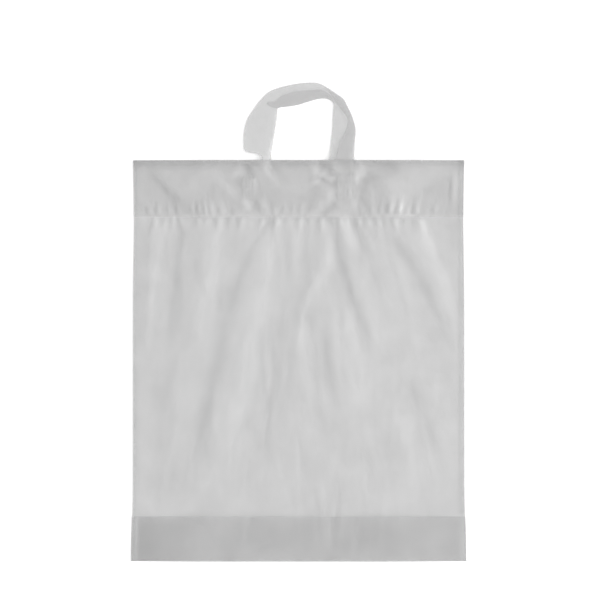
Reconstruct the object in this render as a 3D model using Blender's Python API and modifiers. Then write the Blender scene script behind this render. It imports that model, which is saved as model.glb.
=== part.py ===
"""A loop-handle carrier bag of thin polythene film, lying on its rear panel.

The film starts as one flat blank and is folded: hem flap, front panel, gusset, rear panel, hem flap.
Welded side seams and a cross weld on each hem close it, and a strap loop hangs from each hem.
+X is across the bag, +Y runs up to the mouth and the handles, and +Z is up from the surface it lies on.
"""

import math

import bpy
import numpy as np

MM = 0.001

# Bag, laid out flat
BAG_HEIGHT = 452.5 * MM
HALF_WIDTH = 187.2 * MM
WAIST_IN = 1.2 * MM  # how far the cross weld draws each side in
WAIST_SPREAD = 55 * MM
FLARE_OUT = 1.9 * MM  # how far the stiff gusset holds each side out
FLARE_SPREAD = 90 * MM
HANDLE_RISE = 86.5 * MM
HEM_DEPTH = 72 * MM
HEM_WELD_DOWN = 63 * MM  # cross weld, below the mouth
HEM_WELD_WIDTH = 2 * MM
GUSSET_DEPTH = 50.5 * MM
SEAM_WIDTH = 4.5 * MM
FILM = 0.2 * MM
LAYER_GAP = 0.2 * MM
PIECE_GAP = 0.3 * MM

# Air in the bag: heights of the front panel and of the gusset's ridge, along the middle
BOTTOM_OPENING = 3 * MM
RIDGE_HEIGHT = 3.5 * MM
BODY_HEIGHT = 8.5 * MM
MOUTH_HEIGHT = 8.2 * MM
BODY_RISE = 95 * MM  # from the bottom edge to where the front panel is level
MOUTH_FALL = 90 * MM
SHOULDER = 90 * MM  # from a side seam to where the front panel is level

# Handle: where the strap's outer and inner edges are, from one weld round to the other,
# as x from the bag's middle and y above its bottom edge, in millimetres
STRAP_EDGES = (
    ((-64, 407), (-49, 407)),
    ((-63, 428), (-47, 426)),
    ((-52, 443), (-38, 440)),
    ((-42, 453), (-31.5, 452)),
    ((-44, 458.5), (-31, 457)),
    ((-59.5, 462.5), (-30.5, 462)),
    ((-61.7, 471), (-29.5, 469)),
    ((-61.5, 484), (-27.5, 481)),
    ((-58, 498), (-25.5, 494)),
    ((-51, 509.5), (-24, 506)),
    ((-43.5, 519.5), (-23.5, 510.5)),
    ((-34, 529), (-21, 512)),
    ((-20, 534.8), (-13, 512.8)),
    ((-2, 537.3), (-1, 514.7)),
    ((12.5, 539), (11, 518.3)),
    ((22.5, 538), (21, 521.2)),
    ((31, 533.5), (29, 522)),
    ((42, 528), (35.5, 520.5)),
    ((51, 521), (39.3, 516)),
    ((56, 511.5), (39, 506)),
    ((61, 500.5), (38.4, 497)),
    ((64.4, 487), (38, 486)),
    ((63.3, 472), (36.6, 472)),
    ((62.3, 453), (36, 453)),
    ((60, 438), (42, 438)),
    ((59.5, 423), (43.3, 423)),
    ((59.5, 407), (43.3, 407)),
)
STRAP_STEPS = 3  # stations worked out between two of those
STRAP_COLUMNS = 3
REAR_SHIFT = -0.8 * MM  # the rear strap lies a little to one side
REAR_DROP_LENGTH = 14 * MM
FRONT_DROP_LENGTH = 45 * MM

FILM_COLUMNS = 28
COLUMN_CROWDING = 0.93  # how closely the columns crowd towards the side seams, from 0 to 1
PANEL_ROWS = 12
FOLD_STEPS = 4
SEAM_ROWS = 24
HEM_ROWS = 5
LEAF_ROWS = 4
FILM_INTO_SEAM = 0.25  # how far the film and the cross welds reach into a side seam, as shares of its width
WELD_INTO_SEAM = 0.4
SEAM_INSET = 0.15 * FILM  # keeps a side seam's faces off the film's own

FILM_COLOUR = (0.78, 0.79, 0.79, 1)
STRAP_COLOUR = (0.82, 0.83, 0.83, 1)

LAYER = FILM + LAYER_GAP
STACK = 3 * LAYER + FILM  # four layers, as they lie in a side seam
MIDDLE_Y = (BAG_HEIGHT + HANDLE_RISE) / 2  # the origin's height above the bottom edge


def clear_scene():
    """Removes whatever objects the file opened with."""
    for thing in list(bpy.data.objects):
        bpy.data.objects.remove(thing)


def smooth(share):
    """A ramp from 0 to 1 that starts and ends level."""
    share = np.clip(share, 0, 1)
    return share * share * (3 - 2 * share)


def half_width(y):
    """Half the bag's width at a height above its bottom edge: drawn in at the weld, flared at the base."""
    waist = np.exp(-(((y - (BAG_HEIGHT - HEM_WELD_DOWN)) / WAIST_SPREAD) ** 2))
    flare = smooth(1 - y / FLARE_SPREAD)
    return HALF_WIDTH - WAIST_IN * waist + FLARE_OUT * flare


def opening_share(x, y):
    """How open the bag is between its side seams: 0 at a seam, 1 from the shoulder inwards."""
    return smooth((half_width(y) - SEAM_WIDTH - np.abs(x)) / SHOULDER)


def between(x, y, seam_layer, middle):
    """A film height that is middle along the bag and settles into its own layer at the side seams."""
    in_seam = FILM / 2 + seam_layer * LAYER
    share = opening_share(x, y)
    return in_seam + (middle - in_seam) * share


def front_height(x, y):
    """Height of the front panel's film."""
    up_the_rise = np.clip(y / BODY_RISE, 0, 1)
    rise = (BODY_HEIGHT - BOTTOM_OPENING) * np.sin(up_the_rise * math.pi / 2)
    fall = (BODY_HEIGHT - MOUTH_HEIGHT) * smooth(1 - (BAG_HEIGHT - y) / MOUTH_FALL)
    return between(x, y, 3, BOTTOM_OPENING + rise - fall)


def ridge_height(x, y):
    """Height of the fold along the top of the gusset."""
    return between(x, y, 1.5, RIDGE_HEIGHT)


def half_turn(y_start, z_start, z_end, outward):
    """A fold: a half circle from z_start to z_end, bulging up or down the bag, without its two ends."""
    angle = np.linspace(0, math.pi, FOLD_STEPS + 1)[1:-1]
    radius = abs(z_end - z_start) / 2
    rise = (z_end - z_start) / 2
    return [(y_start + outward * radius * math.sin(a), z_start + rise * (1 - math.cos(a))) for a in angle]


def film_section(x_share):
    """The folded film across one line up the bag, from the front hem's free edge to the rear one's."""
    top = BAG_HEIGHT - LAYER / 2
    bottom = LAYER / 2
    ridge = GUSSET_DEPTH - LAYER / 2
    hem_edge = BAG_HEIGHT - HEM_DEPTH

    def x_at(y):
        return x_share * (half_width(y) - SEAM_WIDTH * (1 - FILM_INTO_SEAM))

    def front(y, layers_in):
        return float(front_height(x_at(y), y)) - layers_in * LAYER

    def leaf(y, at_bottom, side):
        share = (y - bottom) / (ridge - bottom)
        at_ridge = float(ridge_height(x_at(ridge), ridge)) + side * LAYER / 2
        return at_bottom + (at_ridge - at_bottom) * share

    rear = FILM / 2
    hem_rows = np.linspace(hem_edge, top, HEM_ROWS)
    panel_rows = np.linspace(bottom, top, PANEL_ROWS + 1)
    leaf_rows = np.linspace(bottom, ridge, LEAF_ROWS)
    front_leaf_start = front(bottom, 1)
    rear_leaf_start = rear + LAYER
    section = [(y, front(y, 1)) for y in hem_rows]
    section += half_turn(top, front(top, 1), front(top, 0), 1)
    section += [(y, front(y, 0)) for y in panel_rows[::-1]]
    section += half_turn(bottom, front(bottom, 0), front_leaf_start, -1)
    section += [(y, leaf(y, front_leaf_start, 1)) for y in leaf_rows]
    section += half_turn(ridge, leaf(ridge, front_leaf_start, 1), leaf(ridge, rear_leaf_start, -1), 1)
    section += [(y, leaf(y, rear_leaf_start, -1)) for y in leaf_rows[::-1]]
    section += half_turn(bottom, rear_leaf_start, rear, -1)
    section += [(y, rear) for y in panel_rows]
    section += half_turn(top, rear, rear + LAYER, 1)
    section += [(y, rear + LAYER) for y in hem_rows[::-1]]
    return [(x_at(y), y - MIDDLE_Y, z) for y, z in section]


def surface(name, rows):
    """A flat grid primitive, each of its points moved to the place that rows gives for it."""
    points = np.array(rows, float)
    row_count, column_count = points.shape[:2]
    bpy.ops.mesh.primitive_grid_add(x_subdivisions=column_count - 1, y_subdivisions=row_count - 1, size=2)
    sheet = bpy.context.object
    sheet.name = name
    sheet.data.name = name
    flat = np.zeros(len(sheet.data.vertices) * 3)
    sheet.data.vertices.foreach_get("co", flat)
    flat = flat.reshape(-1, 3)
    column = np.rint((flat[:, 0] + 1) / 2 * (column_count - 1)).astype(int)
    row = np.rint((flat[:, 1] + 1) / 2 * (row_count - 1)).astype(int)
    sheet.data.vertices.foreach_set("co", points[row, column].ravel())
    sheet.data.update()
    return sheet


def thicken(sheet, thickness):
    """Gives an open surface its wall, half to each side, and leaves it a plain mesh."""
    solidify = sheet.modifiers.new("Film", "SOLIDIFY")
    solidify.thickness = thickness
    solidify.offset = 0
    solidify.use_even_offset = True
    bpy.context.view_layer.objects.active = sheet
    bpy.ops.object.modifier_apply(modifier=solidify.name)
    return sheet


def face_outwards(solid):
    """Turns the normals of a closed mesh outwards."""
    bpy.context.view_layer.objects.active = solid
    bpy.ops.object.mode_set(mode="EDIT")
    bpy.ops.mesh.select_all(action="SELECT")
    bpy.ops.mesh.normals_make_consistent(inside=False)
    bpy.ops.object.mode_set(mode="OBJECT")
    return solid


def weld_on(body, piece):
    """Unites piece with body and removes piece."""
    union = body.modifiers.new("Weld", "BOOLEAN")
    union.operation = "UNION"
    union.solver = "EXACT"
    union.object = piece
    bpy.context.view_layer.objects.active = body
    bpy.ops.object.modifier_apply(modifier=union.name)
    bpy.data.objects.remove(piece)


def column_shares():
    """Where the film's columns stand, from -1 at one side seam to 1 at the other, closest at the seams."""
    shares = np.sin(np.linspace(-1, 1, FILM_COLUMNS + 1) * COLUMN_CROWDING * math.pi / 2)
    return shares / shares[-1]


def folded_film():
    """The bag's one film, folded to shape and given its thickness."""
    columns = [film_section(share) for share in column_shares()]
    rows = np.array(columns).transpose(1, 0, 2)
    return face_outwards(thicken(surface("bag_body", rows), FILM))


def side_seam(side):
    """The welded strip up one side, where all the layers are one."""
    rows = []
    for y in np.linspace(LAYER, BAG_HEIGHT - LAYER, SEAM_ROWS + 1):
        outer = side * half_width(y)
        inner = side * (half_width(y) - SEAM_WIDTH)
        rows.append([(inner, y - MIDDLE_Y, STACK / 2), (outer, y - MIDDLE_Y, STACK / 2)])
    return face_outwards(thicken(surface("side_seam", rows), STACK - 2 * SEAM_INSET))


def cross_weld(height):
    """The weld across one hem that holds its flap to its panel; height gives its middle."""
    middle = BAG_HEIGHT - HEM_WELD_DOWN
    rows = []
    for y in (middle - HEM_WELD_WIDTH / 2, middle + HEM_WELD_WIDTH / 2):
        reach = float(half_width(y)) - SEAM_WIDTH * (1 - WELD_INTO_SEAM)
        rows.append([(x, y - MIDDLE_Y, float(height(x, y))) for x in column_shares() * reach])
    return face_outwards(thicken(surface("cross_weld", rows), LAYER))


def smooth_route(stops, steps):
    """Points along a smooth curve through the stops, with steps spans between each two."""
    stops = np.array(stops, float)
    padded = np.vstack([2 * stops[0] - stops[1], stops, 2 * stops[-1] - stops[-2]])
    points = []
    for before, start, end, after in zip(padded, padded[1:], padded[2:], padded[3:]):
        leave = (end - before) / 2
        arrive = (after - start) / 2
        for t in np.arange(steps) / steps:
            points.append(
                start * (2 * t**3 - 3 * t**2 + 1)
                + end * (3 * t**2 - 2 * t**3)
                + leave * (t**3 - 2 * t**2 + t)
                + arrive * (t**3 - t**2)
            )
    return np.array(points + [stops[-1]])


def strap(name, height, shift):
    """One handle: a film strap between its outer and inner edges, at the height that height gives."""
    stops = [[*outer, *inner] for outer, inner in STRAP_EDGES]
    rows = []
    for x_out, y_out, x_in, y_in in smooth_route(stops, STRAP_STEPS) * MM:
        row = []
        for share in np.linspace(0, 1, STRAP_COLUMNS + 1):
            x = x_out + (x_in - x_out) * share + shift
            y = y_out + (y_in - y_out) * share
            row.append((x, y - MIDDLE_Y, float(height(x, y))))
        rows.append(row)
    return face_outwards(thicken(surface(name, rows), FILM))


def rear_strap_height(x, y):
    """On the rear hem flap inside the bag, and down on the surface outside it."""
    inside = FILM / 2 + LAYER + FILM + PIECE_GAP
    outside = FILM / 2
    return inside + (outside - inside) * smooth((y - BAG_HEIGHT - FILM) / REAR_DROP_LENGTH)


def front_strap_height(x, y):
    """Under the front hem flap inside the bag, and falling to rest on the rear strap outside it."""
    inside = front_height(x, np.minimum(y, BAG_HEIGHT)) - LAYER - FILM - PIECE_GAP
    outside = FILM / 2 + FILM + PIECE_GAP
    return inside + (outside - inside) * smooth((y - BAG_HEIGHT - FILM) / FRONT_DROP_LENGTH)


def finish(thing, colour, collection):
    """Gives a finished piece its material and its shading, and puts it in the bag's collection."""
    film = bpy.data.materials.new(thing.name + "_film")
    film.use_nodes = True
    shader = film.node_tree.nodes["Principled BSDF"]
    shader.inputs["Base Color"].default_value = colour
    shader.inputs["Roughness"].default_value = 0.42
    shader.inputs["Metallic"].default_value = 0
    thing.data.materials.clear()
    thing.data.materials.append(film)
    thing.data.shade_smooth()
    thing.data.set_sharp_from_angle(angle=math.radians(35))
    for other in list(thing.users_collection):
        other.objects.unlink(thing)
    collection.objects.link(thing)


def main():
    clear_scene()
    collection = bpy.data.collections.new("carrier_bag")
    bpy.context.scene.collection.children.link(collection)
    body = folded_film()
    weld_on(body, cross_weld(lambda x, y: front_height(x, y) - LAYER / 2))
    weld_on(body, cross_weld(lambda x, y: FILM / 2 + LAYER / 2))
    weld_on(body, side_seam(-1))
    weld_on(body, side_seam(1))
    finish(body, FILM_COLOUR, collection)
    finish(strap("front_handle", front_strap_height, 0), STRAP_COLOUR, collection)
    finish(strap("rear_handle", rear_strap_height, REAR_SHIFT), STRAP_COLOUR, collection)


main()
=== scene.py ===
"""A loop-handle carrier bag of frosted polythene film, lying on its rear panel on a white table.

One blank of film is folded into hems, panels and gusset, and a film strap loops out of each hem.
+X is across the bag, +Y runs up to the mouth and the handles, and +Z is up from the table.
Lengths in here are millimetres, and become metres where a mesh or a light is made.
"""
import math

import bpy
import numpy as np
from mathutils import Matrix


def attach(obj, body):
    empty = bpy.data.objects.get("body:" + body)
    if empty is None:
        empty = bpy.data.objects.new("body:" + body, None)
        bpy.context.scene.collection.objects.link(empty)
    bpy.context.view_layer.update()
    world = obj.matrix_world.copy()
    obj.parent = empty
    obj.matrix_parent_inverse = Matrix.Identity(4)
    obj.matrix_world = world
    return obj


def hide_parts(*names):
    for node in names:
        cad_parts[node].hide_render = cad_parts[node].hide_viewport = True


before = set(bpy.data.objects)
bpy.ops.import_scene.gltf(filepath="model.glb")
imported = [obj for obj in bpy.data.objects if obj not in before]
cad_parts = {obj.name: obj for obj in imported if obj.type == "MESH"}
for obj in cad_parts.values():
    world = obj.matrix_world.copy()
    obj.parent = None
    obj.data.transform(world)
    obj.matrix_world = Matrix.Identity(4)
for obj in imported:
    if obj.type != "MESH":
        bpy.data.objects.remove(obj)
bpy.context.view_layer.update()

MM = 0.001

# The bag, laid out flat: heights are above its bottom edge, widths from its middle
BAG_HEIGHT = 452.5
HALF_WIDTH = 187.2
WAIST_IN = 1.2
WAIST_SPREAD = 55
FLARE_OUT = 1.9
FLARE_SPREAD = 90
HANDLE_RISE = 86.5
HEM_DEPTH = 64
HEM_WELD_DOWN = 63
GUSSET_DEPTH = 50.5
SEAM_WIDTH = 4.5
MIDDLE_Y = (BAG_HEIGHT + HANDLE_RISE) / 2  # the origin's height above the bottom edge
WELD_LINE = BAG_HEIGHT - HEM_WELD_DOWN
HEM_EDGE = BAG_HEIGHT - HEM_DEPTH

# Air in the bag
BOTTOM_OPENING = 3
RIDGE_HEIGHT = 3.5
BODY_HEIGHT = 5.6
MOUTH_HEIGHT = 3.8
BODY_RISE = 95
MOUTH_FALL = 90
SHOULDER = 90

# Film: its wall, and how far apart two layers lie in the bag and in a side seam
WALL = 0.08
LAYER = 0.4
SEAM_LAYER = 0.14
LOWEST = 0.06
LEAST_ROOM = 0.05  # a dent goes down by at most this and ROOM_SHARE of the height under the film
ROOM_SHARE = 0.7
CREASE = math.radians(40)  # an edge sharper than this is shaded as a crease
MOUTH_CURL = 9  # the hem's fold curls up this far down
MOUTH_LIFT = 0.4
WELD_GROOVE = 0.5
WELD_GROOVE_HALF = 1.4
SEAM_RIDGE = 0.2
SEAM_RIDGE_HALF = 0.9
SEAM_RIDGE_START = 12
SEAM_HOLDS = 14  # a side seam, and the bottom fold, flatten the folds this far
BOTTOM_HOLDS = 20
WELD_FLAT = 7  # the cross weld keeps the puckers down this far to either side
MOUTH_SHADE_REACH = 14  # painted shade greys the film this far down from the mouth's fold
LEVEL_PAST_MOUTH = 8
CORNER_REACH = 70

# Table, view and light
TABLE_SIDE = 12000
TABLE_GAP = 0.2
TABLE_POINTS = 41
VIEW_WIDTH = 676.2  # the width of the picture, at VIEW_HEIGHT above the table
VIEW_HEIGHT = 2
VIEW_MIDDLE = (1.4, 25.2)
LIGHT_SIDE = math.radians(6)  # where the lights stand, turned from +X
TOWARDS_LIGHT = np.array([math.cos(LIGHT_SIDE), math.sin(LIGHT_SIDE)])

# Folds in the front panel: the line that each runs along, half its width, and its slope there.
# A positive slope rises towards the light and is dark, a negative one falls towards it and is bright.
BODY_FOLDS = (
    (((-129, 392), (-137, 345), (-143, 283), (-152, 225)), 6, 0.26),
    (((-31, 392), (-40, 372), (-62, 331), (-76, 289)), 4, 0.2),
    (((-55, 350), (-76, 289), (-85, 252), (-93, 210), (-105, 165), (-112, 126), (-128, 76)), 8, 0.22),
    (((14, 324), (3, 289), (-5, 254)), 5, 0.24),
    (((41, 396), (46, 347), (57, 308), (77, 252), (86, 205)), 5, 0.36),
    (((56, 392), (72, 358), (86, 340)), 3.5, 0.2),
    (((30, 272), (34, 221), (41, 188), (52, 160)), 6, 0.22),
    (((96, 372), (120, 345), (136, 323), (150, 289), (164, 255), (176, 215)), 6, 0.34),
    (((168, 392), (171, 320)), 7, 0.2),
    (((120, 218), (138, 168), (152, 140), (172, 126)), 7, 0.18),
    (((-151, 392), (-157, 329), (-164, 272), (-172, 200)), 7, -0.24),
    (((-92, 392), (-96, 329), (-105, 283), (-108, 215)), 7, -0.2),
    (((-23, 392), (-34, 323), (-48, 267), (-56, 210), (-68, 165), (-86, 126), (-114, 72)), 9, -0.2),
    (((-2, 392), (-3, 316)), 5, -0.2),
    (((35, 392), (34, 335), (11, 298), (3, 272), (5, 224), (13, 150)), 5, -0.24),
    (((79, 315), (72, 220), (62, 125)), 20, -0.12),
    (((136, 392), (152, 351), (166, 314), (178, 278)), 8, -0.15),
    (((50, 392), (63, 347)), 4, -0.26),
    (((-118, 205), (-128, 150), (-152, 100)), 9, -0.12),
    (((98, 156), (106, 110), (120, 74)), 8, 0.1),
    (((-150, 240), (-158, 190), (-168, 140)), 8, 0.1),
    (((-30, 200), (-36, 150), (-30, 105)), 10, 0.08),
)
HEM_FOLDS = (
    (((-180, 444), (-158, 427), (-141, 410), (-122, 392)), 7, 0.34),
    (((-170, 440), (-150, 426), (-132, 408)), 7, -0.12),
    (((180, 440), (146, 429), (115, 410), (103, 394)), 12, -0.2),
    (((171, 442), (167, 396)), 4, 0.55),
    (((40, 431), (13, 442)), 2.6, -0.6),
    (((41, 419), (17, 427)), 2.6, -0.55),
    (((42, 408), (30, 402), (12, 393)), 2.8, -0.6),
    (((44, 402), (34, 397), (26, 393)), 2.6, 0.35),
    (((38, 426), (18, 435)), 2.4, 0.45),
    (((20, 450), (30, 445), (41, 436)), 4, 0.36),
    (((61, 430), (78, 444)), 3.4, -0.5),
    (((63, 424), (84, 432), (118, 436)), 4, 0.5),
    (((61, 408), (64, 394)), 2.2, -0.25),
    (((66, 414), (80, 400)), 3, 0.25),
    (((-64, 450), (-57, 443), (-50, 434)), 4, 0.36),
    (((-30, 450), (-40, 438)), 4, -0.42),
    (((-46, 428), (-70, 436)), 3, -0.34),
    (((-62, 412), (-55, 394)), 2.6, -0.3),
    (((-49, 410), (-45, 394)), 2.6, 0.25),
    (((-44, 408), (-31, 394)), 2.6, -0.3),
    (((-66, 410), (-84, 424), (-100, 430)), 4, -0.26),
    (((-66, 400), (-92, 416)), 5, 0.12),
)
BODY_FOLD_START = 0.15
HEM_FOLD_START = 0.35
FOLD_END = 0.35
FOLD_REACH = 4

# Puckers that the cross weld draws in the film: where each stands, how far it leans over its reach,
# half its width, its height, and its reach
PUCKERS_ABOVE = (
    (-168, -4, 3, 1.8, 22), (-158, -3, 2.6, 2.1, 24), (-146, -4, 2.6, 1.8, 23), (-134, -6, 2.4, 1.3, 20),
    (-119, -3, 2, 1.4, 21), (-112, -3, 2, 1.8, 22), (-105, -3, 2, 1.8, 23), (-98, -3, 2, 1.4, 21),
    (-86, -6, 3, 1.2, 22), (-74, 2, 2.2, 0.8, 13), (-27, -3, 2.2, 0.9, 16), (-17, 1, 2.2, 1, 16),
    (-8, 2, 2.2, 1, 17), (0, 6, 2.2, 1.3, 18), (10, 7, 2.2, 0.8, 15), (71, -2, 2.4, 1, 13),
    (81, 1, 2.2, 1.6, 15), (91, 2, 2.4, 1.3, 17), (101, 4, 3, 2.2, 23), (111, 6, 3, 2.2, 29),
    (120, 6, 2.4, 1.3, 19), (130, 7, 3, 2.3, 29), (141, 7, 2.6, 1.6, 21), (151, 8, 3, 2.2, 27),
    (161, 7, 2.6, 1.6, 21),
)
PUCKERS_BELOW = (
    (-177, -2, 3.4, 1.4, 20), (-162, -3, 3.4, 2.3, 24), (-151, -2, 3, 1.9, 22), (-143, 1, 2.5, 1.9, 20),
    (-134, 2, 2.8, 1.9, 22), (-113, -2, 3.4, 1.9, 22), (-104, -2, 2.5, 1.4, 18), (-90, -2, 3.4, 2.3, 26),
    (-76, -3, 3, 1.4, 20), (-64, -4, 3.9, 2.3, 22), (-40, -8, 3, 1.9, 22), (-25, -4, 3.4, 2.5, 28),
    (-13, -1, 2.8, 1.2, 18), (1, -1, 3.4, 2.5, 26), (13, 0, 2.5, 1.2, 18), (25, 0, 3.2, 2.3, 24),
    (38, 2, 2.8, 1.4, 20), (45, 3, 3, 2.3, 22), (53, 2, 2.5, 1.7, 20), (66, 4, 3, 1.9, 22),
    (75, 4, 3.4, 1.9, 22), (88, 3, 2.8, 1.2, 18), (97, 3, 2.5, 1.2, 17), (107, 2, 3.4, 2.3, 22),
    (119, 3, 3.4, 1.2, 20), (134, 4, 6.9, 2.9, 24), (152, 3, 3, 1.4, 18), (168, 1, 3, 1.2, 18),
)

REAR_WAVES = 0.25  # the rear panel lies on the table, and its puckers are this much as high

# Small creases where the film has clung to the layer behind
SMALL_CREASES = 240
CREASE_SEED = 7
CREASE_SIDE = 175
CREASE_FAN = 0.35  # they turn away from the middle line by up to this, in radians, and stray by this
CREASE_STRAY = 0.22
CREASE_HALVES = (2.4, 5.5)
CREASE_REACHES = (10, 38)
CREASE_SLOPES = (0.05, 0.15)

# Handle: where the strap's outer and inner edges are, from one weld round to the other, and how
# much of its width is turned under at each
STRAP_STATIONS = (
    ((-64, 407), (-49, 407), 0.3, 0.3),
    ((-63, 428), (-47, 426), 0.3, 0.3),
    ((-52, 443), (-38, 440), 0.3, 0.3),
    ((-42, 453), (-31.5, 452), 0.3, 1),
    ((-44, 458.5), (-31, 457), 0.3, 1),
    ((-59.5, 462.5), (-30.5, 462), 0.3, 0.3),
    ((-61.7, 471), (-29.5, 469), 0.3, 0.3),
    ((-61.5, 484), (-27.5, 481), 0.3, 0.3),
    ((-58, 498), (-25.5, 494), 0.3, 0.3),
    ((-51, 509.5), (-24, 506), 0.3, 0.3),
    ((-46, 516.5), (-23.8, 509.9), 0.3, 0.3),
    ((-43.5, 519.5), (-23.2, 510.8), 0.3, 13.5),
    ((-34, 529), (-20.5, 512), 0.3, 9),
    ((-20, 534.8), (-13, 512.8), 0.3, 14),
    ((-2, 538.6), (-1, 514.7), 0.3, 15.5),
    ((12.5, 540), (11, 518.3), 0.3, 13),
    ((22.5, 539.2), (21, 521.2), 0.3, 11),
    ((31, 535), (29, 522), 1.5, 8),
    ((42, 528), (35.5, 520.5), 6, 3),
    ((51, 521), (39.3, 516), 9, 0.3),
    ((56, 511.5), (39, 506), 8, 0.3),
    ((61, 500.5), (38.4, 497), 6, 0.3),
    ((64.4, 487), (38, 486), 11, 0.3),
    ((63.3, 472), (36.6, 472), 17, 0.3),
    ((62.3, 453), (36, 453), 20, 0.3),
    ((60, 438), (42, 438), 12, 0.3),
    ((59.5, 423), (43.3, 423), 1, 0.3),
    ((59.5, 407), (43.3, 407), 0.3, 0.3),
)
STRAP_STEPS = 6
FLAP_COLUMNS = 8
BAND_COLUMNS = 22
STRAP_PLY = 0.13
TOP_PLY = 2.5  # the band lies this many plies up, over both turned-under edges
LEAST_TURNED = 0.3
PLY_RAMP = 3
STRAP_GAP = 0.55
STRAP_BOW = 0.25
BOW_START = 12
HEM_PAINTED_LIGHT_RAMP = 3
REAR_SHIFT = -0.3
REAR_DROP_LENGTH = 14
FRONT_DROP_LENGTH = 30

# Where a heated bar has welded a strap to the hem: the middle and the size of each
WELD_PATCHES = (((-56.5, 422), (15, 30)), ((51.3, 422), (16, 30)))

# Whiteness of the film, and what is added to it in one place or another. The hem, weld patch and
# strap-in-hem terms are painted light, and the gusset and mouth terms are painted shade.
PLAIN_MILK = 0.3
GUSSET_PAINTED_SHADE = -0.12
HEM_PAINTED_LIGHT = 0.1
MOUTH_PAINTED_SHADE = -0.42
PATCH_PAINTED_LIGHT = 0.16
WELD_LINE_MILK = 0.12
SEAM_MILK = -0.1
GUSSET_SEAM_MILK = 0.3
EDGE_MILK = 0.15
CORNER_MILK = -0.25
STRAP_MILK = 0.4
STRAP_IN_HEM_PAINTED_LIGHT = 0.6

# How finely the film is divided, across the bag and along the film
SEAM_COLUMNS = 8  # in a seam zone a little wider than the seam
SEAM_ZONE = 7
PANEL_COLUMNS = 180
PUCKERED = 22  # below the hem, the film is puckered this far
PUCKERED_ROWS = 14
HEM_ROWS = 36
BODY_ROWS = 50
BASE_ROWS = 12
LEAF_ROWS = 7
REAR_BODY_ROWS = 22
REAR_HEM_ROWS = 22
REAR_FLAP_ROWS = 10


def smooth(share):
    """A ramp from 0 to 1 that starts and ends level: 3 share squared less 2 share cubed."""
    share = np.clip(share, 0, 1)
    return share * share * (3 - 2 * share)


def half_width(y):
    """Half the bag's width: a bell-shaped waist at the cross weld and a smooth flare at the base."""
    waist = np.exp(-(((y - WELD_LINE) / WAIST_SPREAD) ** 2))
    flare = smooth(1 - y / FLARE_SPREAD)
    return HALF_WIDTH - WAIST_IN * waist + FLARE_OUT * flare


def opening_share(x, y):
    """How open the bag is: 0 at a side seam, and a smooth ramp over the shoulder to 1."""
    return smooth((half_width(y) - SEAM_WIDTH - np.abs(x)) / SHOULDER)


def between(x, y, seam_layer, middle):
    """A height that is middle along the bag and settles into its own layer at the side seams."""
    in_seam = LOWEST + seam_layer * SEAM_LAYER
    return in_seam + (middle - in_seam) * opening_share(x, y)


def smooth_route(stops, steps):
    """Points along a Catmull-Rom curve through the stops, steps of them from each stop to the next."""
    stops = np.array(stops, float)
    padded = np.vstack([2 * stops[0] - stops[1], stops, 2 * stops[-1] - stops[-2]])
    before, start, end, after = (padded[i : len(padded) - 3 + i, None, :] for i in range(4))
    t = (np.arange(steps) / steps)[None, :, None]
    leave = (end - before) / 2
    arrive = (after - start) / 2
    points = (
        start * (2 * t**3 - 3 * t**2 + 1)
        + end * (3 * t**2 - 2 * t**3)
        + leave * (t**3 - 2 * t**2 + t)
        + arrive * (t**3 - t**2)
    )
    return np.vstack([points.reshape(-1, stops.shape[1]), stops[-1:]])


def beside(x, y, line):
    """How far each point is from a line, positive on its lit side, and how far along it, from 0 to 1."""
    route = smooth_route(line, 4)
    nearest = np.full(x.shape, np.inf)
    aside = np.zeros(x.shape)
    along = np.zeros(x.shape)
    spans = len(route) - 1
    whole = route[-1] - route[0]
    lit_turn = math.copysign(1, whole[0] * TOWARDS_LIGHT[1] - whole[1] * TOWARDS_LIGHT[0])
    for i, (start, end) in enumerate(zip(route, route[1:])):
        run = end - start
        length = np.hypot(*run)
        ahead = run / length
        lit = np.array([-ahead[1], ahead[0]]) * lit_turn
        dx, dy = x - start[0], y - start[1]
        share = np.clip((dx * ahead[0] + dy * ahead[1]) / length, 0, 1)
        off = np.hypot(dx - share * run[0], dy - share * run[1])
        closer = off < nearest
        side = np.where(dx * lit[0] + dy * lit[1] < 0, -1.0, 1.0)
        nearest = np.where(closer, off, nearest)
        aside = np.where(closer, off * side, aside)
        along = np.where(closer, (i + share) / spans, along)
    return aside, along


def fold(x, y, line, half, slope, start):
    """A leaning stripe: slope times half times tanh of the distance over half, which dies away as
    a bell FOLD_REACH times as wide, over the line's first share start and its last share FOLD_END."""
    aside, along = beside(x, y, line)
    bell = np.exp(-((aside / (half * FOLD_REACH)) ** 2))
    ends = smooth(along / start) * smooth((1 - along) / FOLD_END)
    return slope * half * np.tanh(aside / half) * bell * ends


def puckers(x, y, stands, side):
    """Short ridges square to the cross weld: a bell across each, and a smooth fall along it."""
    height = np.zeros(x.shape)
    from_weld = (y - WELD_LINE) * side
    for at, lean, half, rise, reach in stands:
        middle = at + lean * from_weld / reach
        along = smooth(from_weld / WELD_FLAT) * smooth(1 - from_weld / reach)
        height += rise * np.exp(-(((x - middle) / half) ** 2)) * along
    return height


def small_creases(x, y):
    """Short leaning stripes scattered over the panel, fanning out below the cross weld: each is the
    slope of a bell across it, under a longer bell along it."""
    draw = np.random.default_rng(CREASE_SEED)
    height = np.zeros(x.shape)
    for _ in range(SMALL_CREASES):
        at = draw.uniform(-CREASE_SIDE, CREASE_SIDE), draw.uniform(10, WELD_LINE - 10)
        fan = -CREASE_FAN * at[0] / HALF_WIDTH * (at[1] / WELD_LINE)
        turn = fan + draw.normal(0, CREASE_STRAY)
        half, reach = draw.uniform(*CREASE_HALVES), draw.uniform(*CREASE_REACHES)
        slope = draw.uniform(*CREASE_SLOPES) * draw.choice((-1, 1))
        across = (x - at[0]) * math.cos(turn) - (y - at[1]) * math.sin(turn)
        along = (x - at[0]) * math.sin(turn) + (y - at[1]) * math.cos(turn)
        height += slope * across * np.exp(-((across / half) ** 2) - (along / reach) ** 2)
    return height


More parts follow.
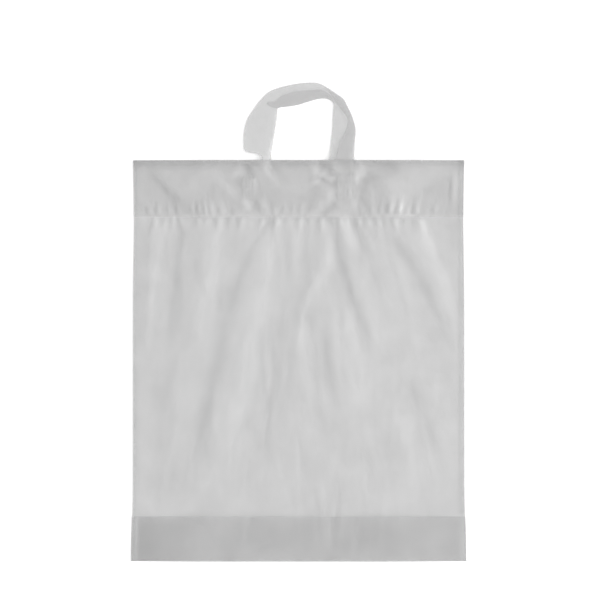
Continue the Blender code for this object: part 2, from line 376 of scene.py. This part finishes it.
def seam_ridge(x, y):
    """The pressed line along a side seam's inner edge: a narrow bell, with its foot on either side."""
    from_edge = np.abs(x) - (half_width(y) - SEAM_WIDTH)
    return SEAM_RIDGE * np.exp(-((from_edge / SEAM_RIDGE_HALF) ** 2)) * smooth(y / SEAM_RIDGE_START)


def relief(x, y):
    """The front panel's folds and puckers, flattened out at the side seams and the bottom edge."""
    height = np.zeros(x.shape)
    for folds, start in ((BODY_FOLDS, BODY_FOLD_START), (HEM_FOLDS, HEM_FOLD_START)):
        for line, half, slope in folds:
            height += fold(x, y, line, half, slope, start)
    height += puckers(x, y, PUCKERS_ABOVE, 1) + puckers(x, y, PUCKERS_BELOW, -1)
    height += small_creases(x, y)
    height -= WELD_GROOVE * np.exp(-(((y - WELD_LINE) / WELD_GROOVE_HALF) ** 2))
    off_seam = smooth((half_width(y) - SEAM_WIDTH - np.abs(x)) / SEAM_HOLDS)
    return height * off_seam * smooth(y / BOTTOM_HOLDS) + seam_ridge(x, y)


def front_height(x, above):
    """Height of the front panel: a sine rise from the bottom edge, a small fall to the mouth, a curl
    at the hem's fold, and its relief, which never takes the film down to the layers below. Past the
    mouth, where only a strap goes on, the mouth's height goes on and the relief dies away."""
    y = np.minimum(above, BAG_HEIGHT)
    rise = (BODY_HEIGHT - BOTTOM_OPENING) * np.sin(np.clip(y / BODY_RISE, 0, 1) * math.pi / 2)
    fall = (BODY_HEIGHT - MOUTH_HEIGHT) * smooth(1 - (BAG_HEIGHT - y) / MOUTH_FALL)
    curl = MOUTH_LIFT * np.clip(1 - (BAG_HEIGHT - y) / MOUTH_CURL, 0, 1) ** 2
    film = between(x, y, 3, BOTTOM_OPENING + rise - fall + curl)
    room = LEAST_ROOM + ROOM_SHARE * (film - LOWEST - 3 * SEAM_LAYER)
    dents = relief(x, y) * smooth(1 + (BAG_HEIGHT - above) / LEVEL_PAST_MOUTH)
    return film + np.where(dents < 0, room * np.tanh(dents / room), dents)


def layer_gap(x, y):
    """How far apart two layers lie: LAYER inside the bag, closing up to SEAM_LAYER in a side seam."""
    return SEAM_LAYER + (LAYER - SEAM_LAYER) * opening_share(x, y)


def half_turn(count):
    """Angles along a fold's half circle, without its two ends."""
    return np.linspace(0, math.pi, count + 2)[1:-1]


def film_section(columns):
    """The whole folded film as points (row, column, xyz): hem flap, mouth fold, front panel, bottom
    fold, gusset leaf, ridge, leaf, bottom fold, rear panel, mouth fold, hem flap."""
    top = BAG_HEIGHT - LAYER / 2
    bottom = LAYER / 2
    ridge = GUSSET_DEPTH - LAYER / 2

    def x_at(y):
        return columns[None, :] * half_width(y)[:, None]

    def sheet_rows(ys, height):
        ys = np.asarray(ys, float)
        x = x_at(ys)
        y = np.broadcast_to(ys[:, None], x.shape)
        return np.stack([x, y, height(x, y)], axis=-1)

    def front_flap(x, y):
        return front_height(x, y) - layer_gap(x, y)

    def rear(x, y):
        waves = REAR_WAVES * (puckers(x, y, PUCKERS_ABOVE, 1) + puckers(x, y, PUCKERS_BELOW, -1))
        return LOWEST + waves * opening_share(x, y)

    def rear_flap(x, y):
        return rear(x, y) + layer_gap(x, y)

    def front_leaf(x, y):
        share = (y - bottom) / (ridge - bottom)
        at_bottom = front_height(x, np.full_like(y, bottom)) - layer_gap(x, y)
        at_ridge = between(x, y, 2, RIDGE_HEIGHT + LAYER / 2)
        return at_bottom + (at_ridge - at_bottom) * share

    def rear_leaf(x, y):
        share = (y - bottom) / (ridge - bottom)
        at_bottom = LOWEST + layer_gap(x, y)
        at_ridge = between(x, y, 1, RIDGE_HEIGHT - LAYER / 2)
        return at_bottom + (at_ridge - at_bottom) * share

    def turn(y, from_height, to_height, outward):
        """A half circle from one layer's edge to the next one's, bulging along y."""
        angle = half_turn(3)[:, None]
        ys = np.full(angle.shape[0], float(y))
        x = x_at(ys)
        edge = np.full_like(x, float(y))
        start, end = from_height(x, edge), to_height(x, edge)
        radius = np.abs(end - start) / 2
        bulge = edge + outward * radius * np.sin(angle)
        height = start + (end - start) * (1 - np.cos(angle)) / 2
        return np.stack([x, bulge, height], axis=-1)

    rear_flap_rows = np.linspace(HEM_EDGE, top, REAR_FLAP_ROWS)
    leaf_rows = np.linspace(bottom, ridge, LEAF_ROWS)
    hem_rows = np.linspace(HEM_EDGE, top, HEM_ROWS)
    below_hem = np.linspace(HEM_EDGE - PUCKERED, HEM_EDGE, PUCKERED_ROWS)[:-1]
    body_rows = np.linspace(GUSSET_DEPTH, HEM_EDGE - PUCKERED, BODY_ROWS)[:-1]
    base_rows = np.linspace(bottom, GUSSET_DEPTH, BASE_ROWS)[:-1]
    front_rows = np.concatenate([base_rows, body_rows, below_hem, hem_rows])
    rear_rows = np.concatenate([
        np.linspace(bottom, HEM_EDGE - PUCKERED, REAR_BODY_ROWS)[:-1],
        np.linspace(HEM_EDGE - PUCKERED, top, REAR_HEM_ROWS),
    ])
    sections = [
        sheet_rows(hem_rows, front_flap),
        turn(top, front_flap, front_height, 1),
        sheet_rows(front_rows[::-1], front_height),
        turn(bottom, front_height, front_leaf, -1),
        sheet_rows(leaf_rows, front_leaf),
        turn(ridge, front_leaf, rear_leaf, 1),
        sheet_rows(leaf_rows[::-1], rear_leaf),
        turn(bottom, rear_leaf, rear, -1),
        sheet_rows(rear_rows, rear),
        turn(top, rear, rear_flap, 1),
        sheet_rows(rear_flap_rows[::-1], rear_flap),
    ]
    return np.concatenate(sections)


def path_length(points):
    """How far along the film each row is: the running sum of the steps down its middle column."""
    middle = points[:, points.shape[1] // 2]
    steps = np.linalg.norm(np.diff(middle, axis=0), axis=1)
    return np.concatenate([[0], np.cumsum(steps)])


def grid_faces(rows, columns):
    """Quads between the points of a grid, each round (i, j), (i + 1, j), (i + 1, j + 1), (i, j + 1)."""
    corner = np.arange(rows * columns).reshape(rows, columns)
    around = (corner[:-1, :-1], corner[1:, :-1], corner[1:, 1:], corner[:-1, 1:])
    return np.stack(around, axis=-1).reshape(-1, 4)


def film_mesh(name, points, across, milkiness_and_painted_light):
    """A surface whose point (i, j) is points[i, j], in millimetres above the bag's bottom edge.
    Its UV map is the film laid flat, in metres: across it, and along it. milkiness_and_painted_light
    is from 0, where the film has stayed clear and grey, to 1, where it has turned whitest, and
    besides the film's own whiteness it holds painted light and shade."""
    faces = grid_faces(*points.shape[:2])
    placed = (points - (0, MIDDLE_Y, 0)) * MM
    mesh = bpy.data.meshes.new(name)
    mesh.from_pydata(placed.reshape(-1, 3).tolist(), [], faces.tolist())
    along = np.broadcast_to(path_length(points)[:, None], across.shape)
    flat = np.stack([across, along], axis=-1) * MM
    flat_map = mesh.uv_layers.new(name="flat_film")
    flat_map.data.foreach_set("uv", flat.reshape(-1, 2)[faces.ravel()].ravel())
    marks = {"weld_press": pressed(points[..., 0], points[..., 1]), "milkiness_and_painted_light": milkiness_and_painted_light}
    for label, values in marks.items():
        mark = mesh.attributes.new(label, "FLOAT", "POINT")
        mark.data.foreach_set("value", np.broadcast_to(values, across.shape).ravel())
    piece = bpy.data.objects.new(name, mesh)
    bpy.context.scene.collection.objects.link(piece)
    wall = piece.modifiers.new("Wall", "SOLIDIFY")
    wall.thickness = WALL * MM
    wall.offset = 0
    bpy.context.view_layer.objects.active = piece
    bpy.ops.object.modifier_apply(modifier=wall.name)
    mesh.shade_smooth()
    mesh.set_sharp_from_angle(angle=CREASE)
    return piece


def patch(x, y, centre, size):
    """1 inside a pressed rectangle and 0 outside, with an edge one millimetre soft."""
    in_x = smooth(size[0] / 2 - np.abs(x - centre[0]) + 0.5)
    in_y = smooth(size[1] / 2 - np.abs(y - centre[1]) + 0.5)
    return in_x * in_y


def pressed(x, y):
    """Where the film is pressed: the handle welds, the cross weld and the side seams."""
    share = np.zeros(x.shape)
    for centre, size in WELD_PATCHES:
        share = np.maximum(share, patch(x, y, centre, size))
    cross = smooth(2 - np.abs(y - WELD_LINE))
    side = smooth(np.abs(x) - half_width(y) + SEAM_WIDTH)
    return np.maximum(share, np.maximum(0.2 * cross, 0.3 * side))


def film_whiteness_and_painted_light(x, y):
    """How white the film is, with painted light and shade added: painted light whitens the hem and the
    weld patches, and painted shade greys the gusset and the mouth's fold. The film is also whiter at
    the cross weld and along the cut edge, and clearer in the bottom corner on the left."""
    from_side = half_width(y) - np.abs(x)
    in_gusset = smooth((GUSSET_DEPTH + 1 - y) / 2)
    in_hem = smooth((y - HEM_EDGE) / 2 + 1)
    welded = np.maximum(*(patch(x, y, centre, size) for centre, size in WELD_PATCHES))
    at_weld_line = smooth(2 - np.abs(y - WELD_LINE))
    at_mouth = smooth(1 - (BAG_HEIGHT - y) / MOUTH_SHADE_REACH)
    beside_seam = smooth(from_side / 2) * smooth((8 - from_side) / 1.5)
    at_edge = smooth(1.4 - from_side)
    in_corner = smooth(1 - np.hypot(x + HALF_WIDTH, y) / CORNER_REACH)
    return (
        PLAIN_MILK
        # painted shade: the gusset is greyer
        + GUSSET_PAINTED_SHADE * in_gusset
        # painted light: the hem is whiter
        + HEM_PAINTED_LIGHT * in_hem
        # painted shade: a greyer band along the mouth's fold
        + MOUTH_PAINTED_SHADE * at_mouth
        # painted light: the weld patches are whiter
        + PATCH_PAINTED_LIGHT * welded
        + WELD_LINE_MILK * at_weld_line
        + (SEAM_MILK + GUSSET_SEAM_MILK * in_gusset) * beside_seam
        + EDGE_MILK * at_edge
        + CORNER_MILK * in_corner
    )


def bag_film():
    """The bag: one film, folded and welded."""
    inner = 1 - SEAM_ZONE / HALF_WIDTH
    seam = np.linspace(inner, 1, SEAM_COLUMNS + 1)[1:]
    columns = np.concatenate([-seam[::-1], np.linspace(-inner, inner, PANEL_COLUMNS + 1), seam])
    points = film_section(columns)
    across = np.broadcast_to(columns[None, :] * HALF_WIDTH, points.shape[:2])
    return film_mesh("bag_film", points, across, film_whiteness_and_painted_light(points[..., 0], points[..., 1]))


def strap(name, base_height, shift):
    """A handle: a film strap lying flat between its outer and inner edges. Each edge is a fold, and
    what is turned under there lies below the band, its own ply deeper past a smooth ramp."""
    stops = [[*outer, *inner, *under] for outer, inner, *under in STRAP_STATIONS]
    route = smooth_route(stops, STRAP_STEPS)
    outer, inner = route[:, None, 0:2], route[:, None, 2:4]
    band = np.linalg.norm(inner - outer, axis=-1)
    turned_out, turned_in = np.clip(route[:, 4:6], LEAST_TURNED, None).T[..., None]
    flap = np.linspace(0, 1, FLAP_COLUMNS + 1)[None, 1:]
    from_outer, from_inner = flap[:, ::-1] * turned_out, flap * turned_in
    middle = np.linspace(0, 1, BAND_COLUMNS + 1)[None, :] * band
    across = np.concatenate([from_outer, middle, band - from_inner], axis=1) / band
    outer_ply, inner_ply = smooth(from_outer / PLY_RAMP), 2 * smooth(from_inner / PLY_RAMP)
    under = np.concatenate([outer_ply, 0 * middle, inner_ply], axis=1)
    on_strap = np.concatenate([-from_outer, middle, band + from_inner], axis=1)
    flat = outer + (inner - outer) * across[..., None]
    x, y = flat[..., 0], flat[..., 1]
    bow = STRAP_BOW * np.sin(np.clip(across, 0, 1) * math.pi) * smooth((y - BAG_HEIGHT) / BOW_START)
    height = base_height(x, y) + STRAP_PLY * (TOP_PLY - under) + bow
    points = np.stack([x + shift, y, height], axis=-1)
    in_hem = smooth((BAG_HEIGHT - y) / HEM_PAINTED_LIGHT_RAMP)
    # painted light: the strap is whiter where it lies in the hem, over the welds
    milkiness_and_painted_light = STRAP_MILK + STRAP_IN_HEM_PAINTED_LIGHT * in_hem
    return film_mesh(name, points, on_strap, milkiness_and_painted_light), float(path_length(points)[-1])


def rear_strap_height(x, y):
    """On the rear hem flap inside the bag, and down on the table outside it."""
    inside = LOWEST + LAYER + STRAP_GAP
    outside = LOWEST
    return inside + (outside - inside) * smooth((y - BAG_HEIGHT - LAYER) / REAR_DROP_LENGTH)


def front_strap_height(x, y):
    """Under the front hem flap inside the bag, and falling to rest on the rear strap outside it."""
    inside = front_height(x, y) - LAYER - STRAP_GAP
    outside = LOWEST + STRAP_GAP
    return inside + (outside - inside) * smooth((y - BAG_HEIGHT - LAYER) / FRONT_DROP_LENGTH)


def linear(code):
    """An sRGB hex colour as linear red, green, blue and 1."""
    shares = [int(code[i : i + 2], 16) / 255 for i in (1, 3, 5)]
    return [s / 12.92 if s <= 0.04045 else ((s + 0.055) / 1.055) ** 2.4 for s in shares] + [1]


def add_node(tree, kind, settings=(), links=()):
    """Adds a node. settings are (name or socket index, value), and links are (socket, source output)."""
    node = tree.nodes.new(kind)
    for key, value in settings:
        if isinstance(key, str) and hasattr(node, key):
            setattr(node, key, value)
        else:
            node.inputs[key].default_value = value
    for key, source in links:
        tree.links.new(source, node.inputs[key])
    return node


def frosted_polythene(name, clear, milk, alpha, mottle):
    """Low-density polythene, blown as a thin tube with a slip additive: milky, satin and see-through.
    Faint clouds from uneven cooling, hair-fine draw lines along the film, and a grid of pressed
    dots wherever a heated tool has been."""
    film = bpy.data.materials.new(name)
    film.use_nodes = True
    tree = film.node_tree
    tree.nodes.clear()
    place = add_node(tree, "ShaderNodeTexCoord")
    flat = add_node(tree, "ShaderNodeUVMap", [("uv_map", "flat_film")])
    clouds = add_node(
        tree,
        "ShaderNodeTexNoise",
        [("Scale", 1 / (32 * MM)), ("Detail", 5), ("Roughness", 0.62)],
        [("Vector", place.outputs["Object"])],
    )
    # the milkiness attribute holds the film's whiteness and also painted light and shade: a whiter hem and
    # welds, a greyer gusset and mouth fold
    milky_and_painted_light = add_node(tree, "ShaderNodeAttribute", [("attribute_name", "milkiness_and_painted_light")])
    whiteness_and_painted_light = add_node(
        tree,
        "ShaderNodeMath",
        [("operation", "MULTIPLY_ADD"), (1, mottle), ("use_clamp", True)],
        [(0, clouds.outputs["Fac"]), (2, milky_and_painted_light.outputs["Fac"])],
    )
    tint = add_node(
        tree,
        "ShaderNodeMix",
        [("data_type", "RGBA"), (6, linear(clear)), (7, linear(milk))],
        [(0, whiteness_and_painted_light.outputs[0])],
    )
    grain = add_node(
        tree,
        "ShaderNodeTexNoise",
        [("Scale", 1 / (4 * MM)), ("Detail", 4), ("Roughness", 0.6)],
        [("Vector", place.outputs["Object"])],
    )
    stretch = add_node(
        tree,
        "ShaderNodeMapping",
        [("Scale", (1 / (2.5 * MM), 1 / (60 * MM), 1))],
        [("Vector", flat.outputs["UV"])],
    )
    draw_lines = add_node(
        tree,
        "ShaderNodeTexNoise",
        [("Scale", 1), ("Detail", 2)],
        [("Vector", stretch.outputs["Vector"])],
    )
    surface = add_node(
        tree,
        "ShaderNodeMath",
        [("operation", "MULTIPLY_ADD"), (1, 0.4)],
        [(0, draw_lines.outputs["Fac"]), (2, grain.outputs["Fac"])],
    )
    satin = add_node(
        tree,
        "ShaderNodeBump",
        [("Strength", 0.5), ("Distance", 0.3 * MM)],
        [("Height", surface.outputs[0])],
    )
    dots = add_node(
        tree,
        "ShaderNodeTexVoronoi",
        [("Scale", 1 / (1.6 * MM)), ("Randomness", 0.35)],
        [("Vector", place.outputs["Object"])],
    )
    press = add_node(tree, "ShaderNodeAttribute", [("attribute_name", "weld_press")])
    pattern = add_node(
        tree,
        "ShaderNodeMath",
        [("operation", "MULTIPLY")],
        [(0, dots.outputs["Distance"]), (1, press.outputs["Fac"])],
    )
    embossed = add_node(
        tree,
        "ShaderNodeBump",
        [("Strength", 1), ("Distance", 1.2 * MM)],
        [("Height", pattern.outputs[0]), ("Normal", satin.outputs["Normal"])],
    )
    shader = add_node(
        tree,
        "ShaderNodeBsdfPrincipled",
        [("Roughness", 0.4), ("IOR", 1.51), ("Alpha", alpha), ("Metallic", 0)],
        [("Base Color", tint.outputs[2]), ("Normal", embossed.outputs["Normal"])],
    )
    add_node(tree, "ShaderNodeOutputMaterial", (), [("Surface", shader.outputs["BSDF"])])
    return film


def white_board():
    """Matt white lining board: a flat, very light surface with a faint paper tooth."""
    board = bpy.data.materials.new("white_lining_board")
    board.use_nodes = True
    tree = board.node_tree
    tree.nodes.clear()
    place = add_node(tree, "ShaderNodeTexCoord")
    tooth = add_node(
        tree,
        "ShaderNodeTexNoise",
        [("Scale", 1 / (1.5 * MM))],
        [("Vector", place.outputs["Object"])],
    )
    rough = add_node(
        tree,
        "ShaderNodeBump",
        [("Strength", 0.05), ("Distance", 0.1 * MM)],
        [("Height", tooth.outputs["Fac"])],
    )
    shader = add_node(
        tree,
        "ShaderNodeBsdfPrincipled",
        [("Base Color", linear("#FBFBFB")), ("Roughness", 0.9), ("Specular IOR Level", 0.1)],
        [("Normal", rough.outputs["Normal"])],
    )
    add_node(tree, "ShaderNodeOutputMaterial", (), [("Surface", shader.outputs["BSDF"])])
    return board


def table_top():
    """A plain white table top, TABLE_SIDE square and flat, TABLE_GAP under the film."""
    reach = np.linspace(-TABLE_SIDE / 2, TABLE_SIDE / 2, TABLE_POINTS)
    x, y = np.meshgrid(reach, reach, indexing="ij")
    points = np.stack([x, y, np.full_like(x, -TABLE_GAP)], axis=-1) * MM
    mesh = bpy.data.meshes.new("table_top")
    mesh.from_pydata(points.reshape(-1, 3).tolist(), [], grid_faces(TABLE_POINTS, TABLE_POINTS).tolist())
    mesh.materials.append(white_board())
    top = bpy.data.objects.new("table_top", mesh)
    bpy.context.scene.collection.objects.link(top)


def far_softbox(name, elevation, spread, strength):
    """A large, far light on the lit side: a sun lamp whose disc is spread wide."""
    data = bpy.data.lights.new(name, "SUN")
    data.angle = spread
    data.energy = strength
    light = bpy.data.objects.new(name, data)
    bpy.context.scene.collection.objects.link(light)
    level = math.cos(elevation)
    light.location = (level * math.cos(LIGHT_SIDE), level * math.sin(LIGHT_SIDE), math.sin(elevation))
    light.rotation_euler = light.location.to_track_quat("Z", "Y").to_euler()


def studio():
    """Even white surroundings, a low softbox that rakes the film, and a higher one for its gloss."""
    world = bpy.data.worlds.new("white_studio")
    world.use_nodes = True
    backing = world.node_tree.nodes["Background"]
    backing.inputs["Color"].default_value = (1, 1, 1, 1)
    backing.inputs["Strength"].default_value = 0.82
    bpy.context.scene.world = world
    far_softbox("low_softbox", elevation=math.radians(27), spread=math.radians(28), strength=2.8)
    far_softbox("high_softbox", elevation=math.radians(62), spread=math.radians(14), strength=0.25)


def camera():
    """Straight above the bag, with the handle upwards in the picture."""
    data = bpy.data.cameras.new("overhead")
    data.lens = 100
    data.sensor_width = 36
    height = VIEW_WIDTH * data.lens / data.sensor_width + VIEW_HEIGHT
    eye = bpy.data.objects.new("overhead", data)
    eye.location = (VIEW_MIDDLE[0] * MM, VIEW_MIDDLE[1] * MM, height * MM)
    bpy.context.scene.collection.objects.link(eye)
    bpy.context.scene.camera = eye


def dress(piece, material, node):
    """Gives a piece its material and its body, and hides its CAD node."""
    piece.data.materials.append(material)
    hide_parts(node)
    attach(piece, "root")


def main():
    scene = bpy.context.scene
    scene.view_settings.view_transform = "Standard"
    scene.cycles.transparent_max_bounces = 40
    camera()
    studio()
    table_top()
    bag_material = frosted_polythene("frosted_polythene_film", "#B2B2B2", "#E4E4E4", 0.3, 0.5)
    strap_material = frosted_polythene("frosted_polythene_strap", "#B8B8B8", "#E8E8E8", 0.26, 0.15)
    bag = bag_film()
    dress(bag, bag_material, "bag_body")
    front, front_length = strap("front_strap", front_strap_height, 0)
    rear, rear_length = strap("rear_strap", rear_strap_height, REAR_SHIFT)
    for piece, node, length in ((front, "front_handle", front_length), (rear, "rear_handle", rear_length)):
        dress(piece, strap_material, node)


main()
